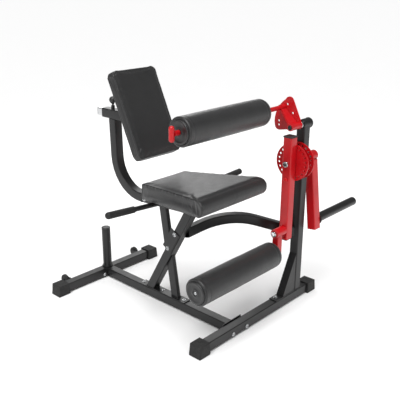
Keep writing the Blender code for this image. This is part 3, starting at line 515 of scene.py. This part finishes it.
def swell(piece, held):
    """Blow the remeshed cushion up as cloth; held vertices stay on what they rest on."""
    before = coordinates(piece.data)
    outward = vertex_normals(piece.data)
    pins = piece.vertex_groups.new(name="held")
    pins.add([int(i) for i in np.nonzero(held)[0]], 1.0, "REPLACE")
    cloth = piece.modifiers.new("cloth", "CLOTH")
    settings = cloth.settings
    settings.quality = 5
    settings.mass = 0.25
    settings.tension_stiffness = 12
    settings.compression_stiffness = 12
    settings.shear_stiffness = 6
    settings.bending_stiffness = 1.2
    settings.use_pressure = True
    settings.uniform_pressure_force = CLOTH_PRESSURE
    settings.vertex_group_mass = "held"
    settings.effector_weights.gravity = 0
    cloth.collision_settings.use_collision = False
    scene = bpy.context.scene
    for step in range(1, CLOTH_STEPS + 1):
        scene.frame_set(step)
    after = coordinates(evaluated_mesh(piece))
    piece.modifiers.remove(cloth)
    scene.frame_set(1)
    move = after - before
    inward = np.minimum((move * outward).sum(axis=1, keepdims=True), 0)
    move -= outward * inward * (1 - PULL_IN)
    length = np.linalg.norm(move, axis=1, keepdims=True)
    share = CLOTH_CAP * np.tanh(length / CLOTH_CAP) / np.maximum(length, 1e-9)
    set_coordinates(piece.data, before + move * share)


def pad(node, name, body, rest_direction):
    """A vinyl cushion grown from its CAD solid. rest_direction points at what it lies on."""
    mesh = bpy.data.meshes.new(name)
    bm = welded_copy(node)
    bm.to_mesh(mesh)
    bm.free()
    piece = bpy.data.objects.new(name, mesh)
    bpy.context.collection.objects.link(piece)
    remesh = piece.modifiers.new("remesh", "REMESH")
    remesh.mode = "VOXEL"
    remesh.voxel_size = VOXEL
    smooth = piece.modifiers.new("smooth", "SMOOTH")
    smooth.factor = 0.5
    smooth.iterations = 3
    bake_modifiers(piece)

    down = np.array(Vector(rest_direction).normalized())
    co = coordinates(piece.data)
    normals = vertex_normals(piece.data)
    height = co @ down
    held = height > height.max() - 0.004
    co -= normals * np.where(held, 0.0006, CUSHION_INSET)[:, None]
    set_coordinates(piece.data, co)
    swell(piece, held)
    finer = piece.modifiers.new("finer", "SUBSURF")
    finer.levels = 1
    finer.render_levels = 1
    bake_modifiers(piece)
    piece.data.shade_smooth()
    piece.data.materials.clear()
    piece.data.materials.append(PAINTS["vinyl"])
    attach(piece, body)
    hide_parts(node)
    return piece


def surface_tree(piece):
    mesh = piece.data
    return BVHTree.FromPolygons([v.co for v in mesh.vertices],
                                [tuple(p.vertices) for p in mesh.polygons])


def cast_path(tree, rays):
    """Points and normals where rays, given as (origin, direction), meet the surface."""
    found = []
    for origin, direction in rays:
        point, normal, _, _ = tree.ray_cast(Vector(origin), Vector(direction))
        if point is not None:
            found.append((point, normal))
    return found


def even_steps(path, step):
    """Resample a path of (point, normal) at even steps."""
    out = [path[0]]
    left = step
    for (a, na), (b, nb) in zip(path, path[1:]):
        length = (b - a).length
        at = left
        while at <= length:
            share = at / length
            out.append((a.lerp(b, share), na.lerp(nb, share).normalized()))
            at += step
        left = at - length
    return out


def sew(piece, name, paths, body):
    """Press each seam into the cushion and lay a row of stitches in it."""
    lines = [even_steps(path, 0.0015) for path in paths]
    spots = [point for line in lines for point, _ in line]
    finder = KDTree(len(spots))
    for i, point in enumerate(spots):
        finder.insert(point, i)
    finder.balance()
    mesh = piece.data
    co = coordinates(mesh)
    normals = vertex_normals(mesh)
    for i in range(len(co)):
        _, _, distance = finder.find(Vector(co[i]))
        if distance < SEAM_WIDTH * 2.5:
            co[i] -= normals[i] * SEAM_DEPTH * math.exp(-(distance / SEAM_WIDTH) ** 2 * 2)
    set_coordinates(mesh, co)

    tree = surface_tree(piece)
    bm = bmesh.new()
    for path in paths:
        line = even_steps(path, STITCH_STEP)
        for (point, _), (after, _) in zip(line, line[1:]):
            spot, normal, _, _ = tree.find_nearest(point)
            along = (after - point)
            along = (along - normal * along.dot(normal)).normalized()
            place = Matrix.Translation(spot + normal * STITCH_RADIUS * 0.4) @ axes_for(along)
            half = STITCH_LENGTH / 2
            r = STITCH_RADIUS
            lathe(bm, [(-half, 0), (-half + r * 0.6, r * 0.8), (0, r * 1.05),
                       (half - r * 0.6, r * 0.8), (half, 0)], place, 6)
    return add_piece(name, bm, "thread", body, 80)


def seat():
    low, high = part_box("seat_cushion")
    slope = seat_slope()
    piece = pad("seat_cushion", "seat_cushion_cover", "frame", (0, -slope, -1))
    tree = surface_tree(piece)
    paths = []
    front, rear = low.y + 0.058, high.y - 0.006
    middle = (low.x + high.x) / 2

    def top_at(y):
        point, _, _, _ = tree.ray_cast(Vector((middle, y, high.z + 0.1)), Vector((0, 0, -1)))
        return point.z

    count = 60
    for sign in (-1, 1):
        outside = middle + sign * 0.4
        inward = (-sign, 0, 0)
        upright = [((outside, front, top_at(front) - d), inward)
                   for d in np.linspace(0.074, 0.016, 14)]
        run = [((outside, y, top_at(y) - 0.016), inward) for y in np.linspace(front, rear, count)]
        paths.append(cast_path(tree, upright + run))
        corner = [((outside, rear - 0.004, top_at(rear) - d), inward)
                  for d in np.linspace(0.016, 0.074, 12)]
        paths.append(cast_path(tree, corner))
    across = [((x, high.y + 0.2, top_at(rear) - 0.016), (0, -1, 0))
              for x in np.linspace(middle - 0.146, middle + 0.146, 40)]
    paths.append(cast_path(tree, across))
    sew(piece, "seat_cushion_stitching", paths, "frame")
    return piece


def seat_slope():
    """Slope of the seat's top face along Y, read from its largest upward face."""
    face = max(NODES["seat_cushion"].data.polygons, key=lambda p: p.area * (p.normal.z > 0.9))
    return face.normal.y / face.normal.z


def back():
    face = max(NODES["back_cushion"].data.polygons, key=lambda p: p.area)
    normal = face.normal.copy()
    if normal.y > 0:
        normal.negate()
    low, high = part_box("back_cushion")
    centre = (low + high) / 2
    across = Vector((1, 0, 0))
    up = across.cross(-normal).normalized()
    if up.z < 0:
        up.negate()
    piece = pad("back_cushion", "back_cushion_cover", "back_carriage", -normal)
    tree = surface_tree(piece)
    seams = []
    for depth in (0.012, -0.015):
        rays = []
        for i in range(241):
            angle = 2 * math.pi * i / 240
            away = across * math.cos(angle) * 0.155 + up * math.sin(angle) * 0.24
            spot = centre + normal * depth
            rays.append((spot + away * 1.8, -away.normalized()))
        seams.append(cast_path(tree, rays))
    sew(piece, "back_cushion_stitching", seams, "back_carriage")
    return piece


def roller(node, name, body):
    """A vinyl-wrapped foam roller: sewn end disc, stitch grooves, a lengthwise seam."""
    low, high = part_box(node)
    radius = (high.z - low.z) / 2
    axis = Vector((0, (low.y + high.y) / 2, (low.z + high.z) / 2))
    bore = 0.0128
    start, end = low.x, high.x
    profile = [(start + 0.004, bore), (start + 0.0010, bore + 0.002), (start + 0.0004, 0.024),
               (start + 0.0002, radius * 0.74), (start + 0.0014, radius * 0.775),
               (start + 0.0030, radius * 0.80), (start + 0.0014, radius * 0.825),
               (start + 0.0006, radius * 0.86)]
    corner = 0.0075
    for step in range(7):
        angle = math.radians(90 * step / 6)
        profile.append((start + 0.0004 + corner * (1 - math.cos(angle)),
                        radius - corner + corner * math.sin(angle)))
    body_start, body_end = start + 0.012, end - 0.024
    count = 110
    for i in range(count + 1):
        x = body_start + (body_end - body_start) * i / count
        share = (x - start) / (end - start)
        crown = radius - 0.0006 + 0.0010 * math.sin(math.pi * share)
        dip = sum(math.exp(-((x - at) / 0.0022) ** 2) for at in (start + 0.027, end - 0.034))
        profile.append((x, crown - 0.0016 * dip))
    for step in range(1, 9):
        angle = math.radians(90 * step / 8)
        profile.append((body_end + 0.0225 * math.sin(angle),
                        radius - 0.0180 + 0.0174 * math.cos(angle)))
    profile += [(end - 0.0008, 0.034), (end - 0.0004, bore + 0.003), (end - 0.004, bore)]
    bm = bmesh.new()
    lathe(bm, profile + [profile[0]], Matrix.Translation(axis), ROLLER_SEGMENTS)
    bmesh.ops.remove_doubles(bm, verts=bm.verts, dist=1e-6)
    for vert in bm.verts:
        offset = vert.co - axis
        flat = Vector((0, offset.y, offset.z))
        if flat.length < radius * 0.9:
            continue
        angle = math.atan2(flat.z, flat.y)
        seam = math.exp(-((angle - math.radians(-35)) / 0.022) ** 2)
        wave = noise.noise(vert.co * 17) * 0.0006 + noise.noise(vert.co * 52) * 0.0002
        vert.co += flat.normalized() * (wave - 0.0014 * seam)
    piece = add_piece(name, bm, "vinyl", body, 60)
    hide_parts(node)
    return piece


def roller_cap(node, name, body, through):
    """A moulded end cap with a raised rim and a dished middle."""
    low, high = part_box(node)
    radius = (high.z - low.z) / 2
    axis = Vector((high.x, (low.y + high.y) / 2, (low.z + high.z) / 2))
    thick = high.x - low.x
    hole = 0.0124 if through else 0.0
    place = Matrix.Translation(axis) @ Matrix.Rotation(math.pi, 4, "Z")
    profile = [(0.0, hole), (0.0, radius), (thick * 0.45, radius), (thick * 0.75, radius - 0.0009),
               (thick * 0.96, radius - 0.0028), (thick, radius - 0.0055), (thick, radius - 0.0095),
               (thick * 0.80, radius - 0.0115), (thick * 0.62, radius - 0.0170),
               (thick * 0.58, radius - 0.0270), (thick * 0.66, 0.0215), (thick * 0.92, 0.0195),
               (thick, 0.0175), (thick, 0.0140)]
    if through:
        profile += [(thick * 0.96, hole), (0.0, hole)]
    else:
        profile += [(thick * 0.90, 0.0130), (thick * 0.55, 0.0125), (thick * 0.55, 0)]
    bm = bmesh.new()
    lathe(bm, profile, place, 72)
    bmesh.ops.remove_doubles(bm, verts=bm.verts, dist=1e-6)
    piece = add_piece(name, bm, "black_plastic", body, 45)
    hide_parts(node)
    return piece


# ---------------------------------------------------------------- fixings, plugs, welds
def tube_plug(name, node, axis, side, lip, body):
    """A plastic plug pushed into the open end of a square tube."""
    low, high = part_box(node)
    centre = (low + high) / 2
    a, b = [i for i in range(3) if i != axis]
    half_a, half_b = (high[a] - low[a]) / 2, (high[b] - low[b]) / 2
    edge = low[axis] if side < 0 else high[axis]
    bm = bmesh.new()
    rings = []
    levels = [(-0.0100, -0.0035), (0.0001, -0.0035), (0.0001, -0.0002), (lip * 0.6, -0.0002),
              (lip, -0.0014), (lip, -0.0085), (lip * 0.5, -0.0100), (lip * 0.5, -half_a * 0.999)]
    for depth, grow in levels:
        ring = []
        wide, tall = max(half_a + grow, 0.0004), max(half_b + grow, 0.0004)
        corner = min(TUBE_CORNER, wide * 0.9, tall * 0.9)
        for sx, sy, start in ((1, 1, 0), (-1, 1, 90), (-1, -1, 180), (1, -1, 270)):
            for step in range(5):
                angle = math.radians(start + 22.5 * step)
                spot = [0.0, 0.0, 0.0]
                spot[axis] = edge + side * depth
                spot[a] = centre[a] + sx * (wide - corner) + corner * math.cos(angle)
                spot[b] = centre[b] + sy * (tall - corner) + corner * math.sin(angle)
                ring.append(bm.verts.new(spot))
        rings.append(ring)
    skin(bm, rings)
    bm.faces.new(rings[0])
    bm.faces.new(rings[-1])
    return add_piece(name, bm, "black_plastic", body, 40)


def floor_bolts():
    bar_low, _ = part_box("front_floor_bar")
    plate_low, plate_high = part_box("front_joint_plate")
    level = bar_low.z + FLOOR_BOLT_RISE
    for label, x in (("inner", plate_low.x + FLOOR_BOLT_INSET), ("outer", plate_high.x - 0.012)):
        button_bolt("front_joint_bolt_" + label, (x, bar_low.y, level), (0, -1, 0), "frame")
        hex_nut("front_joint_nut_" + label, (x, plate_high.y, level), (0, 1, 0), "frame")
    rear_low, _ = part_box("rear_floor_bar")
    beam_low, beam_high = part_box("main_floor_beam")
    level = rear_low.z + FLOOR_BOLT_RISE
    for label, x in (("right", beam_low.x - FLOOR_BOLT_INSET), ("left", beam_high.x + FLOOR_BOLT_INSET)):
        button_bolt("rear_joint_bolt_" + label, (x, rear_low.y, level), (0, -1, 0), "frame")
    deck_low, deck_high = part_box("leg_base_plate")
    middle = (deck_low.x + deck_high.x) / 2
    places = (deck_high.y - 0.013, deck_low.y + 0.185, deck_low.y + 0.022)
    for number, y in enumerate(places):
        button_bolt("foot_plate_bolt_%d" % number, (middle, y, deck_high.z), (0, 0, 1), "frame",
                    BASE_BOLT)
    post_low, post_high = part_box("post_base_plate")
    y = (post_low.y + post_high.y) / 2
    hex_nut("post_plate_nut_inner", (post_low.x + 0.030, y + 0.006, post_high.z), (0, 0, 1), "frame")


def leg_bolts():
    cross_low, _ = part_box("leg_cross_plate")
    for label, y, z in (("upper", 0.033, 0.113), ("lower", 0.086, 0.022)):
        button_bolt("leg_cross_bolt_" + label,
                    (cross_low.x, cross_low.y + y, cross_low.z + z), (-1, 0, 0), "frame",
                    CROSS_BOLT)
    rail_low, rail_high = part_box("seat_rail")
    rear = rail_high.y
    button_bolt("rail_bolt_rear", (rail_low.x, rear - RAIL_REAR_BACK, RAIL_REAR_BOLT_Z), (-1, 0, 0),
                "frame", RAIL_REAR_BOLT)
    for number, back_by in enumerate(RAIL_PAIR_BACK):
        button_bolt("rail_bolt_%d" % number, (rail_low.x, rear - back_by, RAIL_BOLT_Z), (-1, 0, 0),
                    "frame", RAIL_BOLT)
    for number, back_by in enumerate((RAIL_REAR_BACK, *RAIL_PAIR_BACK)):
        hex_nut("rail_nut_%d" % number, (rail_high.x, rear - back_by, RAIL_NUT_Z), (1, 0, 0), "frame",
                RAIL_NUT)


def moving_bolts():
    low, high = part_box("ankle_roller_cap")
    y, z = (low.y + high.y) / 2, (low.z + high.z) / 2
    button_bolt("ankle_roller_bolt", (low.x + 0.0029, y, z), (-1, 0, 0), "ankle_roller", 0.0058)
    shaft_low, shaft_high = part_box("main_shaft")
    y, z = (shaft_low.y + shaft_high.y) / 2, (shaft_low.z + shaft_high.z) / 2
    hex_nut("pivot_nut_outer", (shaft_high.x - 0.0035, y, z), (1, 0, 0), "lever", 0.0150)


def weld_seams():
    weld_bead("weld_main_post", end_loop("main_post", 2, -1), "frame")
    weld_bead("weld_long_leg_foot", end_loop("long_leg", 2, -1), "frame")
    weld_bead("weld_short_leg_foot", end_loop("short_leg_lower", 2, -1), "frame")
    weld_bead("weld_rail_joint", end_loop("seat_rail", 1, 1, 0.0), "frame", radius=THIN_WELD)
    low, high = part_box("plate_storage_post")
    centre, reach = (low + high) / 2, (high.x - low.x) / 2
    ring = [(centre.x + reach * math.cos(a), centre.y + reach * math.sin(a), low.z + 0.0006)
            for a in np.linspace(0, 2 * math.pi, 48, endpoint=False)]
    ring = [p for p in ring if abs(p[1] - centre.y) < 0.0242]
    half = len(ring) // 2
    weld_bead("weld_storage_post", ring[:half], "frame", closed=False)
    low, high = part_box("weight_peg")
    y, z, reach = (low.y + high.y) / 2, (low.z + high.z) / 2, (high.z - low.z) / 2
    ring = [(low.x + 0.0004, y + (reach - 0.0075) * math.cos(a), z + (reach - 0.0075) * math.sin(a))
            for a in np.linspace(0, 2 * math.pi, 48, endpoint=False)]
    weld_bead("weld_weight_peg", ring, "lever", radius=THIN_WELD)


# ---------------------------------------------------------------- stage, light, camera
def stage():
    bm = bmesh.new()
    bmesh.ops.create_grid(bm, x_segments=8, y_segments=8, size=FLOOR_HALF)
    mesh = bpy.data.meshes.new("floor")
    bm.to_mesh(mesh)
    bm.free()
    paint = Paint("floor_paint", (0.93, 0.93, 0.93), 0.75, specular=0.2)
    paint.gloss(paint.cloud(3.0), 0.05)
    mesh.materials.append(paint.material)
    floor = bpy.data.objects.new("floor", mesh)
    bpy.context.collection.objects.link(floor)
    floor.location.z = CAD_BOX[0].z - 0.0006

    world = bpy.data.worlds.new("studio")
    bpy.context.scene.world = world
    world.use_nodes = True
    tree = world.node_tree
    tree.nodes["Background"].inputs["Color"].default_value = (1, 1, 1, 1)
    seen = tree.nodes.new("ShaderNodeLightPath").outputs["Is Camera Ray"]
    level = tree.nodes.new("ShaderNodeMapRange")
    level.inputs["To Min"].default_value = ROOM_LIGHT
    level.inputs["To Max"].default_value = BACKDROP_LIGHT
    tree.links.new(seen, level.inputs["Value"])
    tree.links.new(level.outputs["Result"], tree.nodes["Background"].inputs["Strength"])


def soft_light(name, place, target, size, power):
    data = bpy.data.lights.new(name, "AREA")
    data.shape = "DISK"
    data.size = size
    data.energy = power
    light = bpy.data.objects.new(name, data)
    bpy.context.collection.objects.link(light)
    light.location = place
    light.rotation_euler = (Vector(target) - Vector(place)).to_track_quat("-Z", "Y").to_euler()
    light.visible_camera = False


def lights():
    target = (0, 0, 0.6)
    soft_light("rim_light", (2.1, 2.6, 2.4), target, 2.4, 34)
    soft_light("key_light", (-3.2, -0.6, 3.0), target, 1.6, 42)
    soft_light("front_light", (1.2, -3.6, 1.8), target, 1.8, 14)
    data = bpy.data.lights.new("overhead", "SUN")
    data.energy = OVERHEAD_LIGHT
    data.angle = math.radians(50)
    sun = bpy.data.objects.new("overhead", data)
    bpy.context.collection.objects.link(sun)
    sun.rotation_euler = Vector((0.25, 0.20, -1)).to_track_quat("-Z", "Y").to_euler()


def camera():
    sa, ca = math.sin(CAMERA_AZIMUTH), math.cos(CAMERA_AZIMUTH)
    se, ce = math.sin(CAMERA_ELEVATION), math.cos(CAMERA_ELEVATION)
    back = Vector((sa * ce, -ca * ce, se))
    right = Vector((0, 0, 1)).cross(back).normalized()
    up = back.cross(right)
    turn = Matrix((right, up, back)).transposed() @ Matrix.Rotation(CAMERA_ROLL, 3, "Z")
    data = bpy.data.cameras.new("camera")
    data.lens = CAMERA_LENS
    data.sensor_width = CAMERA_SENSOR
    eye = bpy.data.objects.new("camera", data)
    bpy.context.collection.objects.link(eye)
    eye.matrix_world = Matrix.Translation(CAMERA_PLACE) @ turn.to_4x4()
    bpy.context.scene.camera = eye
    bpy.context.scene.view_settings.view_transform = "Standard"


# ---------------------------------------------------------------- assembly
camera()
stage()
lights()
finish_nodes()
seat()
back()
roller("ankle_roller_foam", "ankle_roller_cover", "ankle_roller")
roller("thigh_roller_foam", "thigh_roller_cover", "thigh_roller")
roller_cap("ankle_roller_cap", "ankle_roller_end_cap", "ankle_roller", False)
roller_cap("thigh_roller_cap", "thigh_roller_end_cap", "thigh_roller", True)
floor_bolts()
leg_bolts()
moving_bolts()
weld_seams()
tube_plug("roller_arm_bottom_plug", "roller_arm", 2, -1, 0.004, "start_arm")
tube_plug("back_slide_plug", "back_slide_tube", 1, 1, 0.003, "back_carriage")
